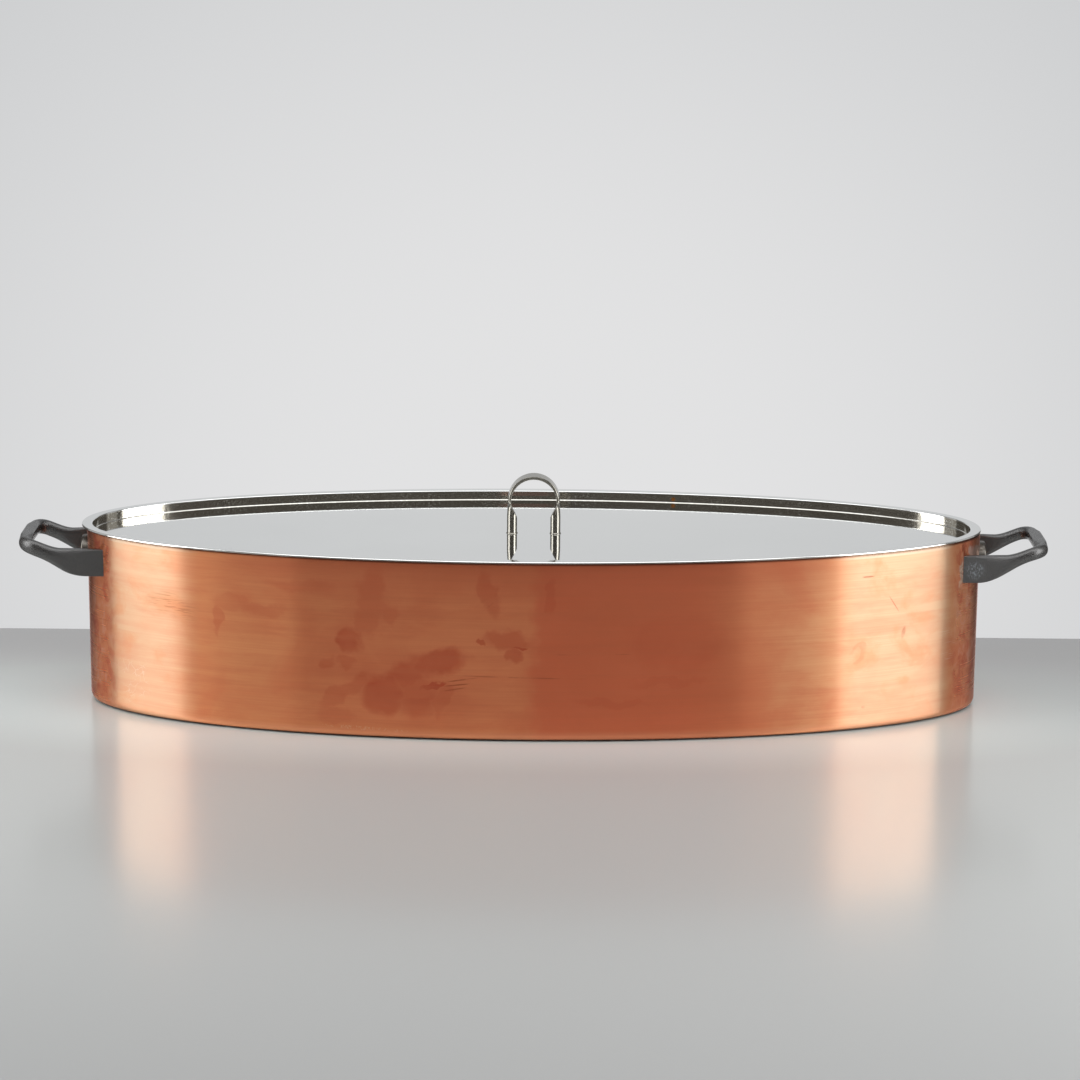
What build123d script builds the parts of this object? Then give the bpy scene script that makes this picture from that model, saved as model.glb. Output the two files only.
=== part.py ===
from build123d import *
import os
from math import asin, cos, degrees, hypot, radians, sin, sqrt

# Oval fish kettle with a sunk lid, two stirrup handles and a lift-out rack.
# X runs along the length, Y across, Z up. The origin is the middle of the base, at its lowest face.
# All sizes are in millimetres.

# Pot
pot_length = 597.6
pot_width = 210.0
pot_height = 119.5
end_arc_width = 52.0
copper_thickness = 1.6
lining_thickness = 0.4
base_edge_radius = 5.0

# Lid
lid_thickness = 1.2
flange_overhang = 2.0
well_depth = 6.5
well_gap = 2.0
well_floor_radius = 1.6

# Lid handle
foot_diameter = 6.8
foot_spacing = 29.0
foot_height = 13.0
shoulder_rise = 5.7
bow_thickness = 1.9
bow_depth = 12.0
bow_height = 40.0
bow_inset = 0.6
bow_neck_rise = 9.0
bow_neck_inset = 0.5
lid_screw_diameter = 4.0
lid_screw_depth = 9.0
lid_screw_head_width = 8.0
lid_screw_head_height = 2.4

# Stirrup handles
lug_drop = 11.0
lug_height = 18.2
lug_thickness = 4.0
lug_length = 10.0
lug_edge_bevel = 0.5
neck_length = 26.0
arm_spread = 66.0
arm_width = 7.2
arm_edge_bevel = 1.9
arm_climb_length = 25.0
grip_reach = 43.0
grip_width = 8.6
grip_height = 8.6
grip_rise = 6.6
grip_top_bevel = 0.8
grip_bottom_bevel = 2.3
grip_corner_radius = 7.0
bridge_thickness = 1.6
bridge_height = 12.0
bridge_lift = 0.8

# Bosses
boss_diameter = 23.0
boss_proud = 4.2
boss_edge_bevel = 1.8
boss_shank_diameter = 6.0
boss_inner_head_diameter = 13.0
boss_inner_head_height = 1.8

# Rack
rack_thickness = 1.2
rack_wall_gap = 6.0
rack_slot_length = 50.0
rack_slot_width = 9.0
rack_slot_pitch = 64.0
rack_row_pitch = 22.0
rack_web = 7.0
rack_foot_diameter = 10.0
rack_foot_height = 9.0
rack_foot_from_end = 95.0
rack_foot_spacing = 96.0
rack_handle_from_end = 58.0
rack_handle_span = 60.0
rack_handle_height = 84.0
rack_strip_width = 12.0
rack_strip_thickness = 2.0
rack_bend_radius = 14.0
rack_tab_length = 18.0
rack_tab_bend_radius = 4.0

# Derived places
half_length = pot_length / 2
half_width = pot_width / 2
wall_thickness = copper_thickness + lining_thickness
lid_top = pot_height + lid_thickness
lid_floor_top = lid_top - well_depth
lid_floor_bottom = lid_floor_top - lid_thickness
well_inset = wall_thickness + well_gap
lug_top = pot_height - lug_drop
lug_bottom = lug_top - lug_height
lug_middle = (lug_top + lug_bottom) / 2
lug_outer_face = arm_spread / 2
grip_top = lug_top + grip_rise
grip_bottom = grip_top - grip_height
grip_x = half_length + grip_reach - grip_width / 2
bridge_bottom = lug_bottom + bridge_lift
rack_underside = wall_thickness + rack_foot_height
rack_top = rack_underside + rack_thickness
rack_inset = wall_thickness + rack_wall_gap
rack_half_length = half_length - rack_inset
rack_half_width = half_width - rack_inset
rack_foot_x = rack_half_length - rack_foot_from_end
rack_handle_x = rack_half_length - rack_handle_from_end


def plan(inset):
    """Half axes of the side ellipse, and middle, radius and half angle of the end circle that meets it
    without a corner, for the pot's plan drawn in by the inset."""
    across = half_width - inset
    sine = end_arc_width / 2 / across
    along = half_length - inset
    for _ in range(12):
        joint_x = along * sqrt(1 - sine * sine)
        middle = joint_x * (1 - (across / along) ** 2)
        radius = hypot(joint_x - middle, end_arc_width / 2)
        along += half_length - inset - middle - radius
    return along, across, middle, radius, degrees(asin(end_arc_width / 2 / radius))


def oval(inset, z):
    """The plan as a flat face at this height."""
    along, across, middle, radius, turn = plan(inset)
    start = degrees(asin(end_arc_width / 2 / across))
    return make_face(Curve() + [
        CenterArc((middle, 0, z), radius, -turn, 2 * turn),
        EllipticalCenterArc((0, 0, z), along, across, start_angle=start, arc_size=180 - 2 * start),
        CenterArc((-middle, 0, z), radius, 180 - turn, 2 * turn),
        EllipticalCenterArc((0, 0, z), along, across, start_angle=180 + start, arc_size=180 - 2 * start),
    ])


def oval_block(inset, bottom, top, edge_radius=0.0, edge_steps=1):
    """Upright block on the plan, its bottom edge rounded in this many flat steps."""
    wall_start = bottom + edge_radius
    block = extrude(oval(inset, wall_start), top - wall_start)
    if edge_radius > 0:
        sections = []
        for step in range(edge_steps + 1):
            turn = radians(90 * step / edge_steps)
            sections.append(oval(inset + edge_radius * (1 - sin(turn)), wall_start - edge_radius * cos(turn)))
        block += loft(sections, ruled=True)
    return block


def rod(plane, diameter, start, end):
    """Cylinder on the plane's Z axis, from one height above it to another."""
    upright = Cylinder(diameter / 2, end - start, align=(Align.CENTER, Align.CENTER, Align.MIN))
    return plane.offset(start) * upright


def mirrored(shape):
    """The shape at the other end of the kettle."""
    return mirror(shape, about=Plane.YZ)


# Pot
boss_seat = Plane(origin=(half_length, 0, lug_middle), x_dir=(0, 0, 1), z_dir=(1, 0, 0))
inner_cavity = oval_block(wall_thickness, wall_thickness, pot_height)
pot_outside = oval_block(0, 0, pot_height + lug_height)


def wall_bores():
    """Holes through the wall at both ends for the bosses."""
    bore = rod(boss_seat, boss_shank_diameter, -2 * wall_thickness, 2 * wall_thickness)
    return bore + mirrored(bore)


def copper_shell():
    """Open oval vessel with one thickness in wall and base and a rounded base edge."""
    outside = oval_block(0, 0, pot_height, base_edge_radius, edge_steps=2)
    hollow = oval_block(copper_thickness, copper_thickness, pot_height, base_edge_radius - copper_thickness)
    return outside - hollow - wall_bores()


def steel_lining():
    """Thin vessel that fits the inside of the copper."""
    outside = oval_block(copper_thickness, copper_thickness, pot_height, base_edge_radius - copper_thickness)
    hollow = oval_block(wall_thickness, wall_thickness, pot_height, base_edge_radius - wall_thickness)
    return outside - hollow - wall_bores()


# Stirrup handle
def ease(x, start, end):
    """Smooth step from 0 at the start to 1 at the end."""
    t = min(max((x - start) / (end - start), 0), 1)
    return t * t * (3 - 2 * t)


def arm_outline(width, height, top_bevel, bottom_bevel):
    """Cross-section of the casting: flat sides, upper and lower corners bevelled by different amounts."""
    side, top = width / 2, height / 2
    return [
        (bottom_bevel - side, -top), (side - bottom_bevel, -top),
        (side, bottom_bevel - top), (side, top - top_bevel),
        (side - top_bevel, top), (top_bevel - side, top),
        (-side, top - top_bevel), (-side, bottom_bevel - top),
    ]


def stirrup():
    """Right-hand casting. Its tall lugs lie on the wall, shrink into arms that climb outwards, and
    turn into a thicker grip bar with a flat top. A thin bridge on the wall joins the lugs."""
    along, across, _, _, _ = plan(0)
    lug_start = along * sqrt(1 - (lug_outer_face / across) ** 2)
    lug_end = lug_start + lug_length
    neck_end = lug_end + neck_length
    corner_x = grip_x - grip_corner_radius
    corner_y = lug_outer_face - arm_width / 2 - grip_corner_radius

    def section(x, y, heading, width):
        """Corners of the cross-section at this place, across an arm that runs at this angle from +X."""
        top = lug_top + grip_rise * ease(x, grip_x - arm_climb_length, grip_x)
        bottom = lug_bottom + (grip_bottom - lug_bottom) * ease(x, lug_end, grip_x)
        in_corner = ease(x, corner_x, grip_x)
        bevel = lug_edge_bevel + (arm_edge_bevel - lug_edge_bevel) * ease(x, lug_end, neck_end)
        top_bevel = bevel + (grip_top_bevel - arm_edge_bevel) * in_corner
        bottom_bevel = bevel + (grip_bottom_bevel - arm_edge_bevel) * in_corner
        turn = radians(heading)
        plane = Plane(
            origin=(x, y, (top + bottom) / 2),
            x_dir=(-sin(turn), cos(turn), 0),
            z_dir=(cos(turn), sin(turn), 0),
        )
        corners = arm_outline(width, top - bottom, top_bevel, bottom_bevel)
        return [plane.from_local_coords((u, v, 0)) for u, v in corners]

    def straight_section(x):
        width = lug_thickness + (arm_width - lug_thickness) * ease(x, lug_end, neck_end)
        return section(x, lug_outer_face - width / 2, 0, width)

    sections = [straight_section(lug_start - lug_length)]
    neck_steps = 7
    for step in range(neck_steps + 1):
        sections.append(straight_section(lug_end + (corner_x - lug_end) * step / neck_steps))
    for heading in (30, 60, 90):
        x = corner_x + grip_corner_radius * sin(radians(heading))
        y = corner_y + grip_corner_radius * cos(radians(heading))
        width = arm_width + (grip_width - arm_width) * heading / 90
        sections.append(section(x, y, -heading, width))
    sections.append(section(grip_x, 0, -90, grip_width))

    half = bridge()
    for start, end in zip(sections, sections[1:]):
        half += ConvexPolyhedron(start + end)
    casting = half + mirror(half, about=Plane.XZ) - pot_outside
    return casting - rod(boss_seat, boss_shank_diameter, -1, 2 * bridge_thickness)


def bridge():
    """Band along the wall from lug to lug, still solid inwards from the wall's outside."""
    band = oval_block(-bridge_thickness, bridge_bottom, bridge_bottom + bridge_height)
    return band & Pos(half_length, 0, lug_middle) * Box(half_length, arm_spread - lug_thickness, lug_height)


def handle_bosses():
    """Round steel bosses over the bridges, each with a shank through the wall and a head inside."""
    disc = Cylinder(boss_diameter / 2, 2 * boss_proud)
    disc = chamfer(disc.edges().group_by(Axis.Z)[-1], boss_edge_bevel)
    boss = boss_seat * disc - pot_outside - bridge()
    head_end = -wall_thickness - boss_inner_head_height
    boss += rod(boss_seat, boss_shank_diameter, head_end + 1, boss_proud / 2)
    boss += rod(boss_seat, boss_inner_head_diameter, head_end, 0) & inner_cavity
    return Compound([boss, mirrored(boss)])


# Lid
foot_places = [(side * foot_spacing / 2, 0) for side in (-1, 1)]


def lid_pan():
    """Sunk lid of one sheet: a flange on the pot's rim, a short upright well and a flat floor."""
    flange = oval_block(-flange_overhang, pot_height, lid_top)
    well = oval_block(well_inset, lid_floor_bottom, pot_height, well_floor_radius + lid_thickness)
    hollow = oval_block(well_inset + lid_thickness, lid_floor_top, lid_top, well_floor_radius)
    pan = flange + well - hollow
    for x, y in foot_places:
        pan -= rod(Plane((x, y, lid_floor_bottom)), lid_screw_diameter, -1, 2 * lid_thickness)
    return pan


def lid_handle():
    """Bar bent into an upside-down U: round feet, slanted inner shoulders and a flattened bow."""
    outer = foot_spacing / 2 + foot_diameter / 2 - bow_inset
    spring = bow_height - outer
    neck_bottom = foot_height / 2
    arch = Curve() + [
        Line((-outer, neck_bottom), (-outer, spring)),
        CenterArc((0, spring), outer, 0, 180),
        Line((outer, spring), (outer, neck_bottom)),
        Line((outer, neck_bottom), (outer - bow_thickness, neck_bottom)),
        Line((outer - bow_thickness, neck_bottom), (outer - bow_thickness, spring)),
        CenterArc((0, spring), outer - bow_thickness, 0, 180),
        Line((bow_thickness - outer, spring), (bow_thickness - outer, neck_bottom)),
        Line((bow_thickness - outer, neck_bottom), (-outer, neck_bottom)),
    ]
    bow = extrude(Plane.XZ * make_face(arch), bow_depth / 2, both=True)

    narrow = foot_diameter / 2 - bow_neck_inset
    taper_end = foot_height + bow_neck_rise
    side_view = Polyline(
        (-narrow, 0), (narrow, 0), (narrow, foot_height), (bow_depth / 2, taper_end),
        (bow_depth / 2, bow_height + 1), (-bow_depth / 2, bow_height + 1),
        (-bow_depth / 2, taper_end), (-narrow, foot_height), close=True,
    )
    bow &= extrude(Plane.YZ * make_face(side_view), 2 * outer, both=True)

    inner = foot_spacing / 2 - foot_diameter / 2
    full = foot_height + shoulder_rise
    front_view = Polyline(
        (inner - 1, 0), (outer + foot_diameter, 0), (outer + foot_diameter, full),
        (outer - bow_thickness, full), (inner - 1, foot_height), close=True,
    )
    foot = rod(Plane((foot_spacing / 2, 0, 0)), foot_diameter, 0, full)
    foot &= extrude(Plane.XZ * make_face(front_view), foot_diameter, both=True)
    handle = bow + foot + mirrored(foot)
    for x, y in foot_places:
        handle -= rod(Plane((x, y, 0)), lid_screw_diameter, -1, lid_screw_depth)
    return Pos(0, 0, lid_floor_top) * handle


def lid_handle_screws():
    """A six-sided screw from below the lid into each foot."""
    screws = []
    for x, y in foot_places:
        seat = Plane((x, y, lid_floor_bottom))
        head = RegularPolygon(lid_screw_head_width / 2, 6, major_radius=False)
        screw = seat * extrude(head, -lid_screw_head_height)
        screws.append(screw + rod(seat, lid_screw_diameter, 0, lid_thickness + lid_screw_depth))
    return Compound(screws)


# Rack
rack_feet_places = [(i * rack_foot_x, j * rack_foot_spacing / 2) for i in (-1, 1) for j in (-1, 1)]


def is_clear(x, y):
    """Whether a slot here leaves enough metal to the edge, the feet and the handle tabs."""
    end, side = abs(x) + rack_slot_length / 2, abs(y) + rack_slot_width / 2
    if (end / (rack_half_length - rack_web)) ** 2 + (side / (rack_half_width - rack_web)) ** 2 > 1:
        return False
    for foot_x, foot_y in rack_feet_places:
        along = max(abs(x - foot_x) - rack_slot_length / 2, 0)
        across = max(abs(y - foot_y) - rack_slot_width / 2, 0)
        if hypot(along, across) < rack_web + rack_foot_diameter / 2:
            return False
    beside_tab = end > rack_handle_x - rack_strip_width / 2 - rack_web
    across_tab = side > rack_handle_span / 2 - rack_web
    return not (beside_tab and across_tab)


def drain_slots():
    """Staggered rows of slots over the whole plate."""
    places = []
    rows = int(rack_half_width / rack_row_pitch)
    columns = int(rack_half_length / rack_slot_pitch) + 1
    for row in range(-rows, rows + 1):
        shift = rack_slot_pitch / 2 if row % 2 else 0.0
        for column in range(-columns, columns + 1):
            x = column * rack_slot_pitch + shift
            if is_clear(x, row * rack_row_pitch):
                places.append((x, row * rack_row_pitch, rack_underside))
    return places


def rack_plate():
    """Oval plate with rows of slots, their ends cut to blunt points."""
    end, side = rack_slot_length / 2, rack_slot_width / 2
    corner = side / 2
    slot = make_face(Polyline(
        (-end, -corner), (corner - end, -side), (end - corner, -side), (end, -corner),
        (end, corner), (end - corner, side), (corner - end, side), (-end, corner), close=True,
    ))
    face = oval(rack_inset, rack_underside) - Locations(*drain_slots()) * slot
    return extrude(face, rack_thickness)


def rack_feet():
    """Short round pegs under the plate."""
    return Compound([rod(Plane((x, y, wall_thickness)), rack_foot_diameter, 0, rack_foot_height)
                     for x, y in rack_feet_places])


def rack_handle():
    """Right-hand lifting loop: one flat strip bent up from a tab, over, and down to another tab."""
    low = rack_top + rack_strip_thickness / 2
    high = rack_top + rack_handle_height - rack_strip_thickness / 2
    side = rack_handle_span / 2
    far = side + rack_tab_length
    line = FilletPolyline(
        (-far, low), (-side, low), (-side, high), (side, high), (side, low), (far, low),
        radius=(rack_tab_bend_radius, rack_bend_radius, rack_bend_radius, rack_tab_bend_radius),
    )
    strip = Plane.YZ * trace(line, rack_strip_thickness)
    return Pos(rack_handle_x, 0, 0) * extrude(strip, rack_strip_width / 2, both=True)


right_handle = stirrup()
right_rack_handle = rack_handle()
parts = {
    "copper_shell": copper_shell(),
    "steel_lining": steel_lining(),
    "right_handle": right_handle,
    "left_handle": mirrored(right_handle),
    "handle_bosses": handle_bosses(),
    "lid_pan": lid_pan(),
    "lid_handle": lid_handle(),
    "lid_handle_screws": lid_handle_screws(),
    "rack_plate": rack_plate(),
    "rack_feet": rack_feet(),
    "right_rack_handle": right_rack_handle,
    "left_rack_handle": mirrored(right_rack_handle),
}

os.makedirs("parts", exist_ok=True)
for name, shape in parts.items():
    export_step(shape, f"parts/{name}.step")
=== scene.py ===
# %% [markdown]
# # Oval fish kettle
#
# A copper fish kettle with a sunk steel lid, two black cast stirrup handles and a lift-out rack. The CAD
# part fixes every size. This script draws the finished looks around it: finer rounded pieces, finishes,
# a table, a pale wall, soft lamps and the camera of the photograph.

import math

import bpy
import numpy as np
from mathutils import Matrix, Vector


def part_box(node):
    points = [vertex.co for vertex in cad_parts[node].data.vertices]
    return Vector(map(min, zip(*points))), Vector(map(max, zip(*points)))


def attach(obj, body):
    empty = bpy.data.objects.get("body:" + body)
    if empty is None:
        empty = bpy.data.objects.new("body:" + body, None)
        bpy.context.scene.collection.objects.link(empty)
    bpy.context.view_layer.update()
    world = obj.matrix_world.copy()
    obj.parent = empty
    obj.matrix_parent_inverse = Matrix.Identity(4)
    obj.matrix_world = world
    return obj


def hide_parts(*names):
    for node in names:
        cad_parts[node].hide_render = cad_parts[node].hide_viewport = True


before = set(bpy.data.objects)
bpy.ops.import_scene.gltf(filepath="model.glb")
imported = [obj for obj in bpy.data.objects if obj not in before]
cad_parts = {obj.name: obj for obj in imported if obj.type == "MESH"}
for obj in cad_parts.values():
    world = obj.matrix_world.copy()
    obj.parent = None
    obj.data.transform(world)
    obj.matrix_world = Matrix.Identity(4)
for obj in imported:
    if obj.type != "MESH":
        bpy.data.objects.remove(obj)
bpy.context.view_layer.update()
for name in sorted(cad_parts):
    low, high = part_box(name)
    print(name, [round(v * 1000, 1) for v in low], [round(v * 1000, 1) for v in high])

# %% [markdown]
# The sizes are those of the CAD part, in millimetres, because the pieces of a kettle are measured that
# way. Every mesh is drawn in millimetres and scaled once, when it is made. WALL is the copper with its
# lining. Most places are given as insets: how far in from the outside of the copper a point lies, up to
# HUB, just short of the kettle's middle.

# %% Sizes
MM = 0.001
HALF_LENGTH, HALF_WIDTH, RIM = 298.8, 105.0, 119.5
END_ARC_WIDTH = 52.0
COPPER, WALL = 1.6, 2.0
BASE_RADIUS = 5.0
LID_TOP, LID_FLOOR, LID_UNDER = 120.7, 114.2, 113.0
LUG_TOP, LUG_BOTTOM, LUG_FACE = 108.5, 90.3, 33.0
BOSS_HEIGHT = (LUG_TOP + LUG_BOTTOM) / 2
RACK_UNDER, RACK_TOP = 11.0, 12.2
HUB = HALF_WIDTH - 1
print("over the copper", 2 * HALF_LENGTH, "by", 2 * HALF_WIDTH, "by", RIM, "mm")

# %% [markdown]
# The plan of the kettle is not an ellipse: its ends are rounder. Each long side is part of an ellipse and
# each end is part of a circle that meets the ellipse without a corner. The same curve drawn further in or
# out gives the lining, the lid and the rack, so one function makes every loop of the model.

# %% Oval plan
QUARTER_END, QUARTER_SIDE = 24, 106
FITTING_ROUNDS = 12


def plan(inset):
    """Half axes of the side ellipse, middle and radius of the end circle and the angle where they meet.
    The ellipse is lengthened until the end circle reaches exactly this inset from the pot's end."""
    across = HALF_WIDTH - inset
    sine = END_ARC_WIDTH / 2 / across
    along = HALF_LENGTH - inset
    for _ in range(FITTING_ROUNDS):
        joint_x = along * math.sqrt(1 - sine * sine)
        middle = joint_x * (1 - (across / along) ** 2)
        radius = math.hypot(joint_x - middle, END_ARC_WIDTH / 2)
        along += HALF_LENGTH - inset - middle - radius
    return along, across, middle, radius, math.asin(END_ARC_WIDTH / 2 / radius)


def ring(inset, height):
    """One loop of the oval. The first quarter is a turn of the end circle and then of the ellipse
    (along cos t, across sin t); the other three quarters are its mirror images."""
    along, across, middle, radius, turn = plan(inset)
    end = np.linspace(0, turn, QUARTER_END, endpoint=False)
    side = np.linspace(math.asin(END_ARC_WIDTH / 2 / across), math.pi / 2, QUARTER_SIDE)
    x = np.concatenate([middle + radius * np.cos(end), along * np.cos(side)])
    y = np.concatenate([radius * np.sin(end), across * np.sin(side)])
    x = np.concatenate([x, -x[-2::-1], -x[1:], x[-2:0:-1]])
    y = np.concatenate([y, y[-2::-1], -y[1:], -y[-2:0:-1]])
    return np.stack([x, y, np.full_like(x, height)], axis=-1)


print("points in a loop", len(ring(0, 0)))

# %% [markdown]
# Each piece becomes one Blender object. Its points are already where they belong, so the object itself stays
# at the origin. Smooth shading suits bent sheet and castings, but a cut edge must look cut: every edge that
# turns more sharply than the angle below stays sharp.

# %% From points to an object
SHARP_ANGLE = math.radians(38)


def shown(name, points, faces, body, slot, stands_for=()):
    """Makes one object of points in millimetres, shades it smooth and gives it to its body. Its slot is not
    used.
    """
    mesh = bpy.data.meshes.new(name)
    mesh.from_pydata((points * MM).tolist(), [], faces)
    mesh.polygons.foreach_set("use_smooth", np.ones(len(mesh.polygons), bool))
    mesh.set_sharp_from_angle(angle=SHARP_ANGLE)
    piece = bpy.data.objects.new(name, mesh)
    bpy.context.scene.collection.objects.link(piece)
    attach(piece, body)
    if stands_for:
        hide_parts(*stands_for)
    print(name, len(points), "points", len(faces), "faces")
    return piece


print("edges over", round(math.degrees(SHARP_ANGLE)), "degrees stay sharp")

# %% [markdown]
# Every shape here is a grid of points: rows run along the piece and columns run round it. Square faces join
# neighbours, and a fan of triangles closes each end, so that every piece is a solid body as the real one is.
# The volume inside the mesh tells whether its faces look outwards, and they are turned over where it comes
# out negative. A box of two rows and four columns shows that it works.

# %% From a grid to a closed surface


def skin(grid):
    """Points and faces of the closed surface over a grid, with a fan over its first and last row."""
    rows, columns = grid.shape[:2]
    index = np.arange(rows * columns).reshape(rows, columns)
    beside = np.roll(index, -1, axis=1)
    quads = np.stack([index[:-1], beside[:-1], beside[1:], index[1:]], axis=-1).reshape(-1, 4)
    points = np.vstack([grid.reshape(-1, 3), grid[0].mean(axis=0), grid[-1].mean(axis=0)])
    first = np.full(columns, rows * columns)
    fans = np.vstack([
        np.stack([first, beside[0], index[0]], axis=-1),
        np.stack([first + 1, index[-1], beside[-1]], axis=-1),
    ])
    corners = np.vstack([quads[:, [0, 1, 2]], quads[:, [0, 2, 3]], fans])
    a, b, c = (points[corners[:, i]] for i in range(3))
    if np.einsum("ij,ij->i", a, np.cross(b, c)).sum() < 0:
        quads, fans = quads[:, ::-1], fans[:, ::-1]
    return points, quads.tolist() + fans.tolist()


def merged(*skins):
    """Several closed surfaces as the points and faces of one object."""
    points, faces = [], []
    for some_points, some_faces in skins:
        start = sum(len(p) for p in points)
        points.append(some_points)
        faces += [[start + i for i in face] for face in some_faces]
    return np.vstack(points), faces


small_box = np.array([[(0, 0, z), (1, 0, z), (1, 1, z), (0, 1, z)] for z in (0, 1)], float)
print("faces of a closed box", len(skin(small_box)[1]))

# %% [markdown]
# Sheet metal never bends to a sharp corner, and the light that runs along a rounded edge is what makes metal
# look real. A bevel modifier could round the edges afterwards, but here every bend has its own known radius,
# so the profile is drawn with its arcs from the start.

# %% Profiles with rounded corners


def rounded(corners, radii, steps=6, support=0.2):
    """A path through these corners, each inner one turned by an arc of its own radius. A point just
    before and just after each arc keeps the flats flat when the mesh is shaded smooth."""
    corners = np.array(corners, float)
    path = [corners[:1]]
    share = np.linspace(0, 1, steps + 1)[:, None]
    for before, corner, after, radius in zip(corners, corners[1:], corners[2:], radii):
        back = (before - corner) / np.linalg.norm(before - corner)
        on = (after - corner) / np.linalg.norm(after - corner)
        half = math.acos(np.dot(back, on)) / 2
        turn = math.pi - 2 * half
        reach = radius / math.tan(half)
        centre = corner + (back + on) / np.linalg.norm(back + on) * radius / math.sin(half)
        start, end = corner + back * reach - centre, corner + on * reach - centre
        arc = (np.sin((1 - share) * turn) * start + np.sin(share * turn) * end) / math.sin(turn)
        path += [[corner + back * (reach + support)], centre + arc, [corner + on * (reach + support)]]
    return np.vstack(path + [corners[-1:]])


print("corner test", rounded([(0, 0), (10, 0), (10, 10)], [2]).round(2)[:3].tolist())

# %% [markdown]
# A metal spinner shapes round pots on a lathe, and an oval one is raised over a former of its own plan. In
# numbers both are the same idea: a profile carried round. vessel carries it round the oval for the body, the
# lining and the lid, and turned carries it round an axis for the bosses and the rack's pegs.

# %% Profiles carried round
DEEPEST_LOOP = 20.0


def vessel(profile):
    """A profile of (inset, height) points carried round the oval. Insets beyond the deepest loop shrink
    that loop evenly towards the middle of the kettle."""
    loops = []
    for inset, height in profile:
        loop = ring(min(inset, DEEPEST_LOOP), height)
        loop[:, :2] *= min(1, (HALF_WIDTH - inset) / (HALF_WIDTH - DEEPEST_LOOP))
        loops.append(loop)
    return np.array(loops)


def turned(profile, middle, axis="z", steps=72):
    """A profile of (radius, height) points turned round an axis through the middle point."""
    radius, height = np.array(profile, float).T
    angle = np.linspace(0, 2 * math.pi, steps, endpoint=False)
    u, v = radius[:, None] * np.cos(angle), radius[:, None] * np.sin(angle)
    w = np.broadcast_to(height[:, None], u.shape)
    grid = np.stack([u, v, w] if axis == "z" else [w, u, v], axis=-1)
    return grid + np.array(middle, float)


print("rows, points and axes of a wall:", vessel([(0, 0), (0, RIM)]).shape)

# %% [markdown]
# Handles and strips are a cross-section carried along a path. The cross-section is a rectangle whose four
# corners are quarter ellipses, and both the rectangle and the corners may change on the way, which is how
# a tall thin lug can turn into a round arm and then into a bar with a flat top.

# %% Sweeps
QUARTER_TURNS = np.arange(4) * math.pi / 2
FLAT_SUPPORT = 0.3


def section(half_width, half_height, across, upward, steps=7):
    """Rounded rectangles, one per station. across and upward hold the half axes of the four corner
    ellipses (right top, left top, left bottom, right bottom). Each corner has a point more on each side,
    so that the flat sides stay flat."""
    half_width, half_height = half_width[:, None], half_height[:, None]
    signs = np.array([(1, 1), (-1, 1), (-1, -1), (1, -1)])
    flats = np.stack([
        2 * half_height[:, 0] - upward[:, 0] - upward[:, 3],
        2 * half_width[:, 0] - across[:, 0] - across[:, 1],
        2 * half_height[:, 0] - upward[:, 1] - upward[:, 2],
        2 * half_width[:, 0] - across[:, 2] - across[:, 3],
    ], axis=-1)
    before = np.minimum(FLAT_SUPPORT, flats * 0.3)
    after = np.roll(before, -1, axis=1)
    angle = np.linspace(0, math.pi / 2, steps + 1)[None, :] + QUARTER_TURNS[:, None]
    u = (signs[:, 0] * (half_width - across))[..., None] + across[..., None] * np.cos(angle)
    v = (signs[:, 1] * (half_height - upward))[..., None] + upward[..., None] * np.sin(angle)
    arcs = np.stack([u, v], axis=-1)
    onward = np.stack([-np.sin(angle), np.cos(angle)], axis=-1)
    flat_before = arcs[:, :, :1] - before[..., None, None] * onward[:, :1]
    flat_after = arcs[:, :, -1:] + after[..., None, None] * onward[:, -1:]
    return np.concatenate([flat_before, arcs, flat_after], axis=2).reshape(len(half_width), -1, 2)


def swept(middles, sideways, upright, sections):
    """Each station's cross-section placed at its middle point, along its sideways and upright arrows."""
    u, v = sections[..., 0, None], sections[..., 1, None]
    return middles[:, None] + u * sideways[:, None] + v * upright[:, None]


def ease(x, start, end):
    """Smooth step from 0 at the start to 1 at the end."""
    t = np.clip((x - start) / (end - start), 0, 1)
    return t * t * (3 - 2 * t)


print("one section", section(np.ones(1), np.ones(1), np.full((1, 4), 0.2), np.full((1, 4), 0.2)).shape)

# %% [markdown]
# The body is copper sheet, raised into an oval tub with one rounded bend into the flat base. A plain surface
# with a Solidify modifier would do, but then the rim's two edges could not have their own rounding. So its
# profile is one closed path: from the middle of the base out and up the wall, over the rim, down the inside
# and back to the middle. The lining, which keeps food off the copper, is a thinner path on the inside.

# %% Copper body and steel lining
RIM_EDGES = [0.4, 0.3]
LINING_EDGES = [0.05, 0.05]
copper_profile = rounded(
    [(HUB, 0), (0, 0), (0, RIM), (COPPER, RIM), (COPPER, COPPER), (HUB, COPPER)],
    [BASE_RADIUS, *RIM_EDGES, BASE_RADIUS - COPPER], steps=8)
copper_body = shown("copper_body", *skin(vessel(copper_profile)), "pot", "copper", ["copper_shell"])

lining_profile = rounded(
    [(HUB, COPPER), (COPPER, COPPER), (COPPER, RIM), (WALL, RIM), (WALL, WALL),
     (HUB, WALL)],
    [BASE_RADIUS - COPPER, *LINING_EDGES, BASE_RADIUS - WALL], support=0.05)
lining = shown("lining", *skin(vessel(lining_profile)), "pot", "lining_steel", ["steel_lining"])
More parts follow.
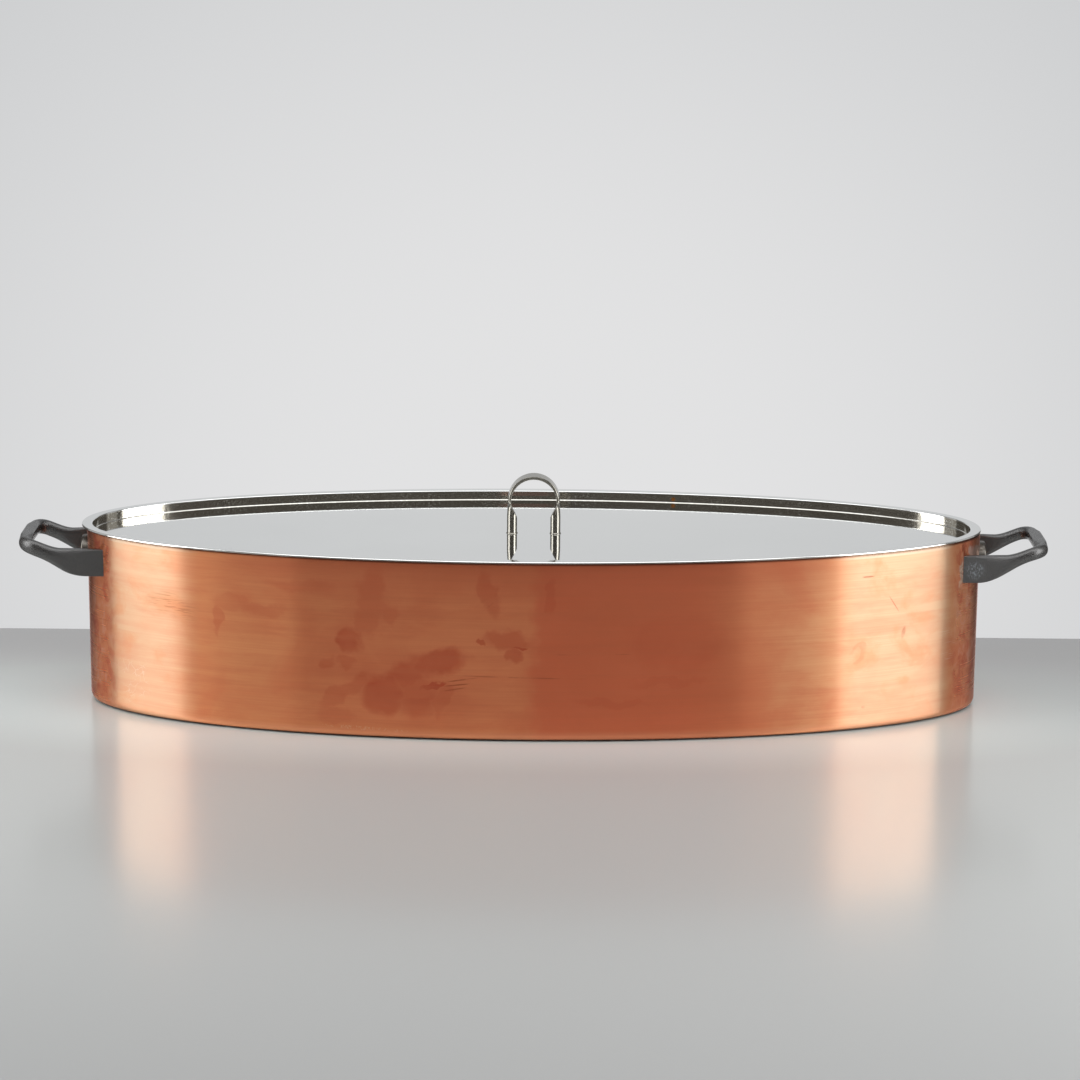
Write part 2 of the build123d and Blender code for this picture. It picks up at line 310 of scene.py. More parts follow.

# %% [markdown]
# The lid is one sheet of steel pressed down in the middle, so that it sits inside the pot. Its flange rests
# on the rim, bends down into a low wall, the well, and turns into the flat floor. The bends are what shine,
# so each has its own radius, listed from the middle of the underside round to the floor. The lid lies loose
# and has slipped a little to the left. The faces of the sheet's cut edge get the second material, a darker
# one: painted shade for the shadowed gap under the flange.

# %% Lid pan
FLANGE_EDGE, WELL_OUTSIDE, WELL_INSIDE = -2.0, 4.0, 5.2
LID_BENDS = [1.8, 0.3, 0.12, 0.9, 0.9, 0.6]
LID_SLIP, CUT_EDGE_REACH = -1.5, 0.60
lid_profile = rounded(
    [(HUB, LID_UNDER), (WELL_OUTSIDE, LID_UNDER), (WELL_OUTSIDE, RIM), (FLANGE_EDGE, RIM),
     (FLANGE_EDGE, LID_TOP), (WELL_INSIDE, LID_TOP), (WELL_INSIDE, LID_FLOOR), (HUB, LID_FLOOR)],
    LID_BENDS, steps=8, support=0.1)
dish_points, dish_faces = skin(vessel(lid_profile))
lid_dish = shown("lid_dish", dish_points + (LID_SLIP, 0, 0), dish_faces, "lid", "lid_steel", ["lid_pan"])
# These faces take the painted shade: the cut edge and the nearest part of the bends beside it.
on_edge = np.maximum(lid_profile[:-1, 0], lid_profile[1:, 0]) < FLANGE_EDGE + CUT_EDGE_REACH
loop_length = len(ring(0, 0))
edge_faces = np.zeros(len(dish_faces), np.int32)
edge_faces[:len(on_edge) * loop_length] = np.repeat(on_edge, loop_length)
lid_dish.data.polygons.foreach_set("material_index", edge_faces)
print("faces of the cut edge", edge_faces.sum())

# %% [markdown]
# The lid's handle is one round bar bent into an arch. Its feet stay round. Above them a slanting cut takes
# away the inner side of the bar until a thin slice is left, and that slice is hammered wide into the strip of
# the arch. So the bright line on the outside runs on unbroken from the foot to the arch. First come the
# faces of one leg: how far out its outer and inner side lie at each height, how deep it is and how its foot
# flares where it stands.

# %% Bow: the faces of a leg
FOOT_X, FOOT_RADIUS, BOW_OUTSIDE, BOW_THICKNESS, BOW_DEPTH, BOW_TOP = 14.5, 3.4, 17.3, 2.1, 12.8, 40.0
SHOULDER_START, SHOULDER_END, WIDE_FROM, FOOT_FLARE = 10.5, 18.4, 22.0, 0.12
spring = BOW_TOP - BOW_OUTSIDE
up = np.concatenate([np.linspace(0, 0.8, 7), np.linspace(1.2, SHOULDER_START - 1, 8),
                     np.linspace(SHOULDER_START - 0.6, spring, 40)])
outer_start, inner_start = FOOT_X + FOOT_RADIUS, FOOT_X - FOOT_RADIUS
outer_face = outer_start + (BOW_OUTSIDE - outer_start) * ease(up, SHOULDER_START, spring)
slant = np.clip((up - SHOULDER_START) / (SHOULDER_END - SHOULDER_START), 0, 1)
inner_face = inner_start + (BOW_OUTSIDE - BOW_THICKNESS - inner_start) * slant
half_depth = FOOT_RADIUS + (BOW_DEPTH / 2 - FOOT_RADIUS) * ease(up, SHOULDER_START + 3, WIDE_FROM)
foot_edge = 1 + FOOT_FLARE * (1 - ease(up, 0.2, 0.8))
print("thickness of the leg at its foot and at its top:", (outer_face - inner_face)[[0, -1]].round(1))

# %% [markdown]
# The path of the bar is one straight leg and then a quarter turn to the top of the arch. The other half is
# the same row of sections backwards, on the other side, so only one half is ever worked out.

# %% Bow: its path
turn = np.linspace(0, math.pi / 2, 26)[1:]
bow_middle = BOW_OUTSIDE - BOW_THICKNESS / 2
leg = np.stack([(outer_face + inner_face) / 2, np.zeros_like(up), up], axis=-1)
arch = np.stack([bow_middle * np.cos(turn), np.zeros_like(turn), spring + bow_middle * np.sin(turn)], axis=-1)
half_path = np.vstack([leg, arch])
middles = np.vstack([half_path, half_path[-2::-1] * (-1, 1, 1)])
leaning = np.concatenate([np.zeros_like(up), turn])
leaning = np.concatenate([leaning, math.pi - leaning[-2::-1]])
outward = np.stack([np.cos(leaning), np.zeros_like(leaning), np.sin(leaning)], axis=-1)
deep = np.broadcast_to(np.array([0.0, 1.0, 0.0]), outward.shape)


def there_and_back(on_leg, on_arch):
    """The values of one leg and of half the arch, and then the same row backwards for the other half."""
    values = np.concatenate([on_leg, np.broadcast_to(on_arch, turn.shape)])
    return np.concatenate([values, values[-2::-1]])


half_thick = there_and_back((outer_face - inner_face) / 2, BOW_THICKNESS / 2)
half_deep = there_and_back(half_depth, BOW_DEPTH / 2)
print("sections of the bow", len(middles))

# %% [markdown]
# Each section of the leg is a circle cut off by a straight line, because that is what the slanting cut
# leaves of a round bar. On the way up it changes over into a strip with rounded edges. Both shapes have as
# many points in the same order, so the change is a plain weighted sum of the two. The two pairs of numbers
# are the half axes of the strip's corners, at the leg and on the arch.

# %% Bow: its sections
LEG_EDGE, STRIP_EDGE = (1.5, 1.6), (0.35, 0.5)


def cut_circle(half_thick, radius):
    """The foot's circle, (radius cos t, radius sin t), cut off at the section's thickness by a straight
    line, with as many points in the same order as section() gives."""
    thick = np.minimum(2 * half_thick, 2 * radius - 0.05)[:, None]
    cut = np.arccos((radius - thick) / radius)
    arc = cut * np.linspace(0.02, 1, 16)
    chord = radius * np.sin(cut) * np.array([0.96, 0.6, 0.3, 0.05])
    u = np.hstack([radius * np.cos(arc), np.broadcast_to(radius - thick, chord.shape)]) - radius
    v = np.hstack([radius * np.sin(arc), chord])
    u = u + half_thick[:, None]
    return np.stack([np.hstack([u, u[:, ::-1]]), np.hstack([v, -v[:, ::-1]])], axis=-1)


outer_edges = np.array([1, 0, 0, 1]) * (1 - there_and_back(np.zeros_like(up), ease(turn, 0.1, 1.0)))[:, None]
edges = [on_strip + (on_leg - on_strip) * outer_edges for on_leg, on_strip in zip(LEG_EDGE, STRIP_EDGE)]
strip = section(half_thick, half_deep, *edges)
like_strip = there_and_back(ease(up, SHOULDER_END - 1, spring), 1.0)[:, None, None]
foot_ring = there_and_back(foot_edge, 1.0)[:, None, None]
bow_sections = cut_circle(half_thick, FOOT_RADIUS) * foot_ring * (1 - like_strip) + strip * like_strip
bow_grid = swept(middles + (0, 0, LID_FLOOR), outward, deep, bow_sections)
lid_bow = shown("lid_bow", *skin(bow_grid), "lid", "lid_steel", ["lid_handle"])

# %% [markdown]
# Each stirrup is one iron casting. A tall thin lug lies on the wall on each side of the boss, shrinks into an
# arm that climbs outwards, and both arms turn into a grip bar with a flat top. A metaball or a sculpt would
# give such soft changes too, but not the exact seat on the wall. Here the section changes along a path. The
# lug has to end on the curved wall, so the wall's own place is worked out first.

# %% Stirrups: their sizes and the wall they sit on
LUG_LENGTH, NECK_LENGTH, LUG_THICKNESS = 10.0, 26.0, 4.0
ARM_WIDTH, CLIMB_LENGTH = 7.2, 25.0
GRIP_X, GRIP_WIDTH, GRIP_HEIGHT, GRIP_RISE, CORNER_RADIUS = 337.5, 8.6, 8.6, 6.6, 8.6
SEAT_DEPTH = 0.3
side_along, side_across, end_middle, end_radius, _ = plan(0)
lug_start = side_along * math.sqrt(1 - (LUG_FACE / side_across) ** 2)
lug_end = lug_start + LUG_LENGTH
neck_end = lug_end + NECK_LENGTH
corner_x = GRIP_X - CORNER_RADIUS
corner_y = LUG_FACE - ARM_WIDTH / 2 - CORNER_RADIUS


def wall_x(y):
    """How far out the pot's wall is at this place across its end, on the end circle or the ellipse."""
    near = np.minimum(np.abs(y), END_ARC_WIDTH / 2)
    far = np.clip(np.abs(y) / side_across, 0, 1)
    return np.where(np.abs(y) < END_ARC_WIDTH / 2, end_middle + np.sqrt(end_radius ** 2 - near ** 2),
                    side_along * np.sqrt(1 - far ** 2))


print("the wall is", round(float(wall_x(LUG_FACE)), 1), "mm out at a lug's face")

# %% [markdown]
# Seen from above, half a casting is a straight arm, a quarter turn and half of the grip. Every row below has
# one number for each section along that path: its place, its width and the way it heads. Both stirrups
# share them, so they are worked out once.

# %% Stirrups: the path
ARM_ROWS, BEND_ROWS, GRIP_ROWS = 66, 20, 12
bend = np.linspace(0, math.pi / 2, BEND_ROWS + 1)[1:]
to_middle = np.linspace(0, 1, GRIP_ROWS + 1)[1:]
heading = np.concatenate([np.zeros(ARM_ROWS), bend, np.full(GRIP_ROWS, math.pi / 2)])
around = heading / (math.pi / 2)
along_grip = np.concatenate([np.zeros(ARM_ROWS + BEND_ROWS), to_middle])
arm_x = np.concatenate([
    [lug_start - 4, lug_start - 2], np.linspace(lug_start - 1, corner_x, ARM_ROWS - 2),
    corner_x + CORNER_RADIUS * np.sin(bend), np.full(GRIP_ROWS, GRIP_X)])
arm_width = LUG_THICKNESS + (ARM_WIDTH - LUG_THICKNESS) * ease(arm_x, lug_end, neck_end)
arm_width = arm_width + (GRIP_WIDTH - ARM_WIDTH) * around
arm_y = np.concatenate([
    LUG_FACE - arm_width[:ARM_ROWS] / 2, corner_y + CORNER_RADIUS * np.cos(bend), corner_y * (1 - to_middle)])
print("sections of half a casting:", len(arm_x))

# %% [markdown]
# The four corners of the section do most of the modelling. On the lug they are nearly sharp. The outer top
# corner grows round along the neck, which draws the leaf-shaped flat on the lug, the others follow a little
# later, and on the grip the top is flat again with small corners, where the fingers rest.

# %% Stirrups: the casting


def corner(sharp, share, half, growth, flat=0.0, flat_size=0.0):
    """One half axis of a corner: sharp on the lug, growing into a share of the half section, and of a
    fixed small size where the top is flat."""
    return (sharp + (share * half - sharp) * growth) * (1 - flat) + flat_size * flat


def stirrup(belly):
    """Half of the right-hand casting from the wall to the middle of the grip, then its mirror image. The
    underside of the arm hangs lower by the belly in its middle."""
    top = LUG_TOP + GRIP_RISE * ease(arm_x, GRIP_X - CLIMB_LENGTH, GRIP_X)
    bottom = LUG_BOTTOM + (LUG_TOP + GRIP_RISE - GRIP_HEIGHT - LUG_BOTTOM) * ease(arm_x, lug_end, GRIP_X)
    hanging = ease(arm_x, lug_end, neck_end - 8) * (1 - 0.7 * ease(arm_x, neck_end, GRIP_X) * around)
    bottom = bottom - belly * hanging
    half_width, half_height = arm_width / 2, (top - bottom) / 2
    leaf = ease(arm_x, lug_start + 2, neck_end - 2)
    rounding = ease(arm_x, lug_end + 4, neck_end + 4)
    flat = ease(around + along_grip, 0.9, 1.45)
    lower_u = corner(0.5, 0.94, half_width, rounding)
    lower_v = corner(0.5, 0.96, half_height, rounding) + 0.55 * half_height * ease(around, 0.5, 1) * flat
    corners_u = np.stack([corner(0.6, 0.96, half_width, leaf, flat, 1.2),
                          corner(0.5, 0.92, half_width, rounding, flat, 0.6), lower_u, lower_u], axis=-1)
    corners_v = np.stack([corner(0.7, 0.96, half_height, leaf, flat, 1.2),
                          corner(0.5, 0.80, half_height, rounding, flat, 0.6), lower_v, lower_v], axis=-1)
    middles = np.stack([arm_x, arm_y, (top + bottom) / 2], axis=-1)
    sideways = np.stack([np.sin(heading), np.cos(heading), np.zeros_like(heading)], axis=-1)
    upright = np.broadcast_to(np.array([0.0, 0.0, 1.0]), sideways.shape)
    half = swept(middles, sideways, upright, section(half_width, half_height, corners_u, corners_v))
    whole = np.vstack([half, half[-2::-1] * (1, -1, 1)])
    whole[..., 0] = np.maximum(whole[..., 0], wall_x(whole[..., 1]) - SEAT_DEPTH)
    return whole


print("rows and points of a casting:", stirrup(0.0).shape[:2])

# %% [markdown]
# Between the lugs a thin band of the same casting lies on the wall behind the boss. The right-hand stirrup
# is made first and the left-hand one is its mirror image. Mirroring turns a mesh inside out, so the order of
# every face's corners is turned round too. The left arm hangs a little lower, as sand castings differ.

# %% Stirrups: band and both handles
BAND_HALF, BAND_LOW, BAND_HIGH, BAND_PROUD = 31.0, 91.1, 103.1, 1.6
RIGHT_BELLY, LEFT_BELLY = 0.3, 2.2


def bridge():
    """Thin band on the wall from lug to lug: a rounded strip of (offset, height) bent along the end."""
    y = np.linspace(-BAND_HALF, BAND_HALF, 61)
    strip = rounded([(-SEAT_DEPTH, 97), (-SEAT_DEPTH, BAND_LOW), (BAND_PROUD, BAND_LOW),
                     (BAND_PROUD, BAND_HIGH), (-SEAT_DEPTH, BAND_HIGH), (-SEAT_DEPTH, 98)],
                    [0.1, 0.5, 0.5, 0.1], steps=4, support=0.05)
    x = wall_x(y)[:, None] + strip[:, 0]
    return np.stack([x, np.broadcast_to(y[:, None], x.shape), np.broadcast_to(strip[:, 1], x.shape)], axis=-1)


def mirrored(points, faces):
    """The same piece at the other end of the kettle, with its faces turned round to look outwards."""
    return points * (-1, 1, 1), [face[::-1] for face in faces]


right_stirrup = shown("right_stirrup", *merged(skin(stirrup(RIGHT_BELLY)), skin(bridge())),
                      "pot", "black_iron", ["right_handle"])
left_stirrup = shown("left_stirrup", *mirrored(*merged(skin(stirrup(LEFT_BELLY)), skin(bridge()))),
                     "pot", "black_iron", ["left_handle"])

# %% [markdown]
# A turned steel boss sits on the end of the wall between the lugs, and its flat inner head shows inside the
# pot. A lathe leaves fine rings on a face and a rounded edge, and a bump texture would only pretend them. So
# the profile is drawn ring by ring and turned round the boss's own axis, and ends on the curved wall.

# %% Bosses
BOSS_RADIUS, BOSS_PROUD, INNER_HEAD_RADIUS, INNER_HEAD_HEIGHT = 11.5, 4.2, 6.5, 1.8
RING_DEPTH, RING_WAVE, BOSS_EDGE, NEAR_AXIS = 0.06, 4.2, 1.6, 0.3


def boss():
    """Face with shallow rings, a rounded edge and a side that ends on the curved wall."""
    front = HALF_LENGTH + BOSS_PROUD
    face = np.linspace(NEAR_AXIS, BOSS_RADIUS - 2.2, 60)
    groove = RING_DEPTH * np.maximum(0, np.sin(face * RING_WAVE)) ** 3
    edge = rounded([(BOSS_RADIUS - 2.0, front), (BOSS_RADIUS, front), (BOSS_RADIUS, HALF_LENGTH - 6)],
                   [BOSS_EDGE], 10)
    profile = np.vstack([np.stack([face, front - groove], axis=-1), edge])
    grid = turned(profile, (0, 0, BOSS_HEIGHT), "x", 96)
    grid[..., 0] = np.maximum(grid[..., 0], wall_x(grid[..., 1]) - SEAT_DEPTH)
    return grid


def inner_head():
    """Flat rivet head inside the pot, with a rounded edge."""
    face = HALF_LENGTH - WALL - INNER_HEAD_HEIGHT
    edge = rounded([(NEAR_AXIS, face), (INNER_HEAD_RADIUS, face),
                    (INNER_HEAD_RADIUS, HALF_LENGTH - WALL - 0.5)], [1.2], 8)
    return turned(edge, (0, 0, BOSS_HEIGHT), "x", 72)


boss_piece = merged(skin(boss()), skin(inner_head()))
right_boss = shown("right_boss", *boss_piece, "pot", "boss_steel", ["handle_bosses"])
left_boss = shown("left_boss", *mirrored(*boss_piece), "pot", "boss_steel")

# %% [markdown]
# Inside the kettle a pierced plate carries the fish. The plate itself is flat and comes from the CAD part as
# it is. Four pegs under it hold it off the base, so that the fish cooks above the water. They are turned
# pieces with a rounded foot, drawn as one half profile.

# %% Rack feet
PEG_X, PEG_Y, PEG_RADIUS, PEG_TOP = 195.8, 48, 5, RACK_UNDER - 0.05
peg_profile = rounded([(NEAR_AXIS, WALL), (PEG_RADIUS, WALL), (PEG_RADIUS, PEG_TOP), (NEAR_AXIS, PEG_TOP)],
                      [1.0, 0.2], 6)
pegs = [skin(turned(peg_profile, (x, y, 0))) for x in (-PEG_X, PEG_X) for y in (-PEG_Y, PEG_Y)]
rack_pegs = shown("rack_pegs", *merged(*pegs), "rack", "rack_steel", ["rack_feet"])

# %% [markdown]
# The rack is lifted by two loops of flat steel strip, higher than a fish and lower than the lid. Each is bent
# twice over a former and twice at its tabs, and a strip bends only about its flat side. So its path lies in
# one upright plane, and the strip's thin side follows the path's own direction.

# %% Rack handles
STRIP_WIDTH, STRIP_THICKNESS, STRIP_CORNER = 12.0, 2.0, 0.5
TAB_BEND, TOP_BEND = 4, 14
HANDLE_X, LOOP_SIDE, LOOP_FAR, LOOP_HEIGHT = 232.8, 30.0, 48.0, 84.0
low, high = RACK_TOP + STRIP_THICKNESS / 2, RACK_TOP + LOOP_HEIGHT - STRIP_THICKNESS / 2
line = rounded([(-LOOP_FAR, low), (-LOOP_SIDE, low), (-LOOP_SIDE, high), (LOOP_SIDE, high), (LOOP_SIDE, low),
                (LOOP_FAR, low)], [TAB_BEND, TOP_BEND, TOP_BEND, TAB_BEND], steps=12)
step = np.gradient(line, axis=0)
step /= np.linalg.norm(step, axis=1, keepdims=True)
zero = np.zeros(len(line))
middles = np.stack([np.full(len(line), HANDLE_X), line[:, 0], line[:, 1]], axis=-1)
across_strip = np.broadcast_to(np.array([1.0, 0.0, 0.0]), middles.shape)
out_of_strip = np.stack([zero, -step[:, 1], step[:, 0]], axis=-1)
strip_corners = np.full((len(line), 4), STRIP_CORNER)
strip_sections = section(zero + STRIP_WIDTH / 2, zero + STRIP_THICKNESS / 2, strip_corners, strip_corners)
loop_piece = skin(swept(middles, across_strip, out_of_strip, strip_sections))
right_loop = shown("right_loop", *loop_piece, "rack", "rack_steel", ["right_rack_handle"])
left_loop = shown("left_loop", *mirrored(*loop_piece), "rack", "rack_steel", ["left_rack_handle"])

# %% [markdown]
# A finish is a graph of nodes, and built by hand it is hard to read. Shader maths reads best as ordinary
# sums, so a small class will wrap one socket of a material. Its helpers come first. One fills an input, the
# other makes an operator, and its turned form is what lets 1 - mask work with the number in front.

# %% Filling a socket, and an operator on it
SIGNS = {"+": "ADD", "-": "SUBTRACT", "*": "MULTIPLY"}


def put(socket, value):
    """Gives an input its value: a link from another socket, or a constant. A colour is three numbers."""
    if isinstance(value, Wire):
        socket.id_data.links.new(value.socket, socket)
    else:
        socket.default_value = (*value, 1) if socket.type == "RGBA" else value


def operator(sign, turned=False):
    """The operator of this sign, which adds the maths node for two values. Turned puts the other first."""
    if turned:
        return lambda self, other: self.maths(SIGNS[sign], other, self)
    return lambda self, other: self.maths(SIGNS[sign], self, other)


print("signs and their maths nodes:", SIGNS)

# %% [markdown]
# The class itself holds one output socket. Sums on it add maths nodes, any other node comes from one method,
# and the few nodes that come up often have a short name of their own.

# %% Sockets as values


class Wire:
    """One output socket, with maths on it."""

    def __init__(self, socket):
        self.socket = socket

    def node(self, kind, settings, inputs, output=0):
        """Any node of the same tree: its settings first, then its input values or links."""
        made = self.socket.id_data.nodes.new(kind)
        for name, value in settings.items():
            setattr(made, name, value)
        for name, value in inputs.items():
            put(made.inputs[name], value)
        return Wire(made.outputs[output])

    def maths(self, operation, *values):
        return self.node("ShaderNodeMath", {"operation": operation}, dict(enumerate(values)))

    __add__, __radd__ = operator("+"), operator("+", turned=True)
    __sub__, __rsub__ = operator("-"), operator("-", turned=True)
    __mul__, __rmul__ = operator("*"), operator("*", turned=True)

    def __abs__(self):
        return self.maths("ABSOLUTE", self)

    def above(self, low, high):
        """0 below the low value, 1 above the high one and a smooth rise between."""
        return self.node("ShaderNodeMapRange", {"interpolation_type": "SMOOTHSTEP"},
                         {"Value": self, "From Min": low, "From Max": high})

    def part(self, name):
        """The X, Y or Z of a vector."""
        return self.node("ShaderNodeSeparateXYZ", {}, {"Vector": self}, name)

    def stretched(self, scale, shift=(0, 0, 0), lean=0):
        """The vector times a scale on each axis, leant over by degrees about Y, then shifted."""
        return self.node("ShaderNodeMapping", {}, {
            "Vector": self, "Location": shift, "Rotation": (0, math.radians(lean), 0), "Scale": scale})

    def distance(self, point):
        """How far the vector is from this point."""
        return self.node("ShaderNodeVectorMath", {"operation": "DISTANCE"}, {0: self, 1: point}, "Value")

    def length(self):
        return self.node("ShaderNodeVectorMath", {"operation": "LENGTH"}, {0: self}, "Value")

    def noise(self, scale, detail=3.0, roughness=0.5, distortion=0.0, shift=(0, 0, 0), lean=0):
        """Noise from 0 to 1, as fine on each axis as the scale says."""
        return self.node("ShaderNodeTexNoise", {}, {
            "Vector": self.stretched(scale, shift, lean), "Scale": 1.0, "Detail": detail,
            "Roughness": roughness, "Distortion": distortion})

    def mix(self, low, high):
        """The colour between low and high at this value."""
        return self.node("ShaderNodeMix", {"data_type": "RGBA"}, {0: self, 6: low, 7: high}, 2)

    def bump(self, strength, distance):
        """The surface normal tilted by this value read as a height."""
        return self.node("ShaderNodeBump", {}, {"Height": self, "Strength": strength, "Distance": distance},
                         "Normal")


print("what a socket can do:", ", ".join(name for name in vars(Wire) if name[0] != "_"))

# %% [markdown]
# Each finish is one Principled material. What stays the same all over the piece is a plain constant. What
# changes over it is worked out from Object coordinates, which are the real place on the piece in metres, so
# a mark stays where it is however the kettle is lit or seen. The plainest finish comes first: the clean steel
# of what the closed kettle hides. The rack's plate and the lid's screws are the CAD part's own pieces, and
# take it too.

# %% Finishes, and the plain steel


def finish(name, settings, varying=None):
    """A Principled material. Constants go on its sockets; varying(place) gives the values that change
    over the piece, from Object coordinates in metres."""
    material = bpy.data.materials.new(name)
    material.use_nodes = True
    if varying:
        place = Wire(material.node_tree.nodes.new("ShaderNodeTexCoord").outputs["Object"])
        settings = {**settings, **varying(place)}
    for key, value in settings.items():
        put(material.node_tree.nodes["Principled BSDF"].inputs[key], value)
    return material


def laid_over(tone, *layers):
    """The tone with every layer, a share and a colour, mixed in over the ones before it."""
    for share, colour in layers:
        tone = share.mix(tone, colour)
    return tone


def dress(material, *pieces):
    """Gives the material to pieces, in place of any they came with."""
    for piece in pieces:
        piece.data.materials.clear()
        piece.data.materials.append(material)
    print(material.name, "on", ", ".join(piece.name for piece in pieces))


plain_steel = finish("plain_steel", {"Metallic": 1.0, "Base Color": (0.62, 0.62, 0.61), "Roughness": 0.28})
dress(plain_steel, lining, rack_pegs, right_loop, left_loop)
dress(plain_steel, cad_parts["rack_plate"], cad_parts["lid_handle_screws"])

# %% [markdown]
# Hands, heat and drips leave marks on copper: redder and darker clouds with soft uneven borders, thin
# scratches and a few scuffs. A painted texture could hold them, but a list of real places and sizes can be
# read and changed. Each mark is an ellipsoid around a place on the front wall. The Mapping node in its
# Texture form turns a place into the mark's own measure, in which the mark reaches from 0 to 1.

# %% Marks on the wall
MARK_DEPTH = 0.03


def mark(place, x, z, half_x, half_z, tilt, soft=0.45):
    """1 inside the mark and 0 outside, with an outer share that fades, called soft. Its middle lies on the
    front wall at x and z, its half sizes are along its own axes and the tilt in degrees turns it on the
    wall. All sizes are in millimetres."""
    y = -side_across * math.sqrt(1 - (x / side_along) ** 2)
    own = place.node("ShaderNodeMapping", {"vector_type": "TEXTURE"}, {
        "Vector": place, "Location": (x * MM, y * MM, z * MM), "Rotation": (0, math.radians(tilt), 0),
        "Scale": (half_x * MM, MARK_DEPTH, half_z * MM)})
    return 1 - own.length().above(1 - soft, 1)


def all_marks(place, rows):
    """The strongest of several marks, each one a row of x, z, half sizes, tilt and strength."""
    total = None
    for *shape, strength in rows:
        one = mark(place, *shape) * strength
        total = one if total is None else total.maths("MAXIMUM", total, one)
    return total


STAINS = [
    (-102.6, 96, 12, 22, 0, 0.42), (-92, 83, 8, 9, 0, 0.42), (-108, 78, 10, 14, -25, 0.42),
    (-117, 65, 9, 10.5, 0, 0.62), (-130.5, 49, 7, 5.5, 0, 0.42), (-119, 51, 6, 4.5, 0, 0.36),
    (-60, 53, 24, 12, -16, 0.85), (-80, 46, 20, 12, -20, 0.62), (-97, 30, 18, 17, 0, 0.72),
    (-74, 30, 16, 18, 8, 0.50), (-121, 31, 27, 7, -36, 0.42), (-58, 28, 6, 15, 12, 0.34),
    (-17, 68, 19, 8, 4, 0.66), (-13, 57, 6.5, 7, 0, 0.70), (-29, 98, 7, 21, -22, 0.42),
    (-64, 38, 10, 1.8, -6, 0.9), (-9, 62.5, 7, 1.0, 0, 1.0), (-34, 68, 3, 1.5, 0, 0.8),
    (-206, 74, 4, 13, 0, 0.45), (-196, 86, 18, 7, 0, 0.30), (-176, 82, 22, 5, 0, 0.28),
    (50, 26, 30, 5, 2, 0.30), (86, 40, 34, 4, 0, 0.22), (-150, 100, 30, 6, 4, 0.28),
    (12, 96, 5, 12, 0, 0.35), (-128, 14, 16, 6, 0, 0.30), (95, 66, 40, 24, 0, 0.25),
]
SCRATCHES = [
    (-8, 43.5, 50, 0.55, 1, 0.6), (35, 59, 42, 0.5, 0, 0.5), (-45, 41.5, 12, 0.6, -9, 0.9),
    (-48, 38, 11, 0.6, -7, 0.8), (-50, 35, 9, 0.6, -10, 0.7), (218, 104, 5, 0.7, 0, 0.8),
    (236, 84, 8, 0.5, 58, 0.6), (243, 64, 1.6, 5, 12, 0.7), (205, 15, 1.3, 1.3, 0, 0.6),
    (217, 16, 1.6, 1.2, 0, 0.6), (-33, 93, 6, 0.6, -40, 0.5), (-29, 90, 6, 0.6, -40, 0.5),
]
print(len(STAINS), "stains", len(SCRATCHES), "scratches")

# %% [markdown]
# The copper was brushed round the pot, so its fine lines run level. Long stretched noise gives such lines:
# scaled little along the wall and a lot upwards, it becomes streaks. Softer and broader noise gives clouds of
# tarnish. The regions below divide the wall by its length, because the bands where the tall lamps reflect,
# the middle and the blotched ends each have their own tone. The paler tone of the bands is a painted
# highlight tint, and the redder tone of the middle is a painted shade tint.

# %% Copper: patterns and regions
# The two bands lie where the tall lamps reflect, in metres along the kettle. Their paler tone is a painted
# highlight.
RIGHT_BAND, LEFT_BAND, END_FROM = (0.190, 0.214, 0.270, 0.278), (0.214, 0.242, 0.276, 0.285), (0.273, 0.285)


def patterns(place):
    """Level lines, broad lines, clouds, wisps and soft noise on the copper, each from 0 to 1."""
    calm = 1 - abs(place.part("X")).above(0.235, 0.262)
    return {
        "lines": place.noise((14, 14, 1100), 3.0, 0.6).above(0.30, 0.70) * calm,
        "broad_lines": place.noise((5, 5, 190), 3.0, 0.6).above(0.42, 0.66),
        "clouds": place.noise((11, 11, 16), 4.0, 0.55, 0.6).above(0.44, 0.66),
        "wisps": place.noise((16, 16, 75), 5.0, 0.62, 0.4, shift=(7, 0, 0)).above(0.44, 0.66),
        "soft": place.noise((55, 55, 70), 3.0, 0.55),
    }


def wandering(place):
    """The place shifted by a few millimetres of noise, which gives every mark an uneven border."""
    swirl = place.node("ShaderNodeTexNoise", {}, {"Vector": place, "Scale": 70.0, "Detail": 3.0}, "Color")
    return place.node("ShaderNodeVectorMath", {"operation": "MULTIPLY_ADD"}, {
        0: swirl, 1: (0.020, 0.0, 0.016), 2: place.stretched((1, 1, 1), (-0.010, 0, -0.008))})


def band(reach, begins, full, fades, ends):
    """0 before the band begins and where it ends, and 1 from where it is full to where it fades."""
    return reach.above(begins, full) * (1 - reach.above(fades, ends))


def regions(place):
    """The front wall, the two bands on it where the tall lamps reflect, which carry a painted highlight tint,
    and the kettle's ends, each from 0 to 1.
    """
    x = place.part("X")
    front = (0 - place.part("Y")).above(0.0, 0.04)
    bands = band(x, *RIGHT_BAND) + band(0 - x, *LEFT_BAND)
    return front, bands * front, abs(x).above(*END_FROM)


# The bands carry a painted highlight tint where the tall lamps reflect.
print("painted highlight band on the right from", RIGHT_BAND[0], "m, on the left from", LEFT_BAND[0], "m")

# %% [markdown]
# The ground tone comes first, then one layer after another is laid over it: each row gives a share from 0 to
# 1 and the colour that it brings. The ground itself is a painted tint of light and shade: redder in the
# middle, where the copper is in shade, and paler towards and in the bands, where the lamps reflect. Over it
# come tarnish and marks, and a painted shade that darkens the upper wall. Metal shows its tone only through
# what it reflects, so these colours are stronger than the copper looks.

# %% Copper: ground tone
# Painted tints of light and shade: the middle tone stands for copper in shade, the band tone for copper where
# the lamps reflect, and the left and right tones lie between.
MIDDLE_SHADE_TONE, LEFT_TONE = (1.0, 0.35, 0.162), (0.98, 0.40, 0.18)
RIGHT_TONE, BAND_HIGHLIGHT_TONE = (1.0, 0.50, 0.255), (0.94, 0.61, 0.385)


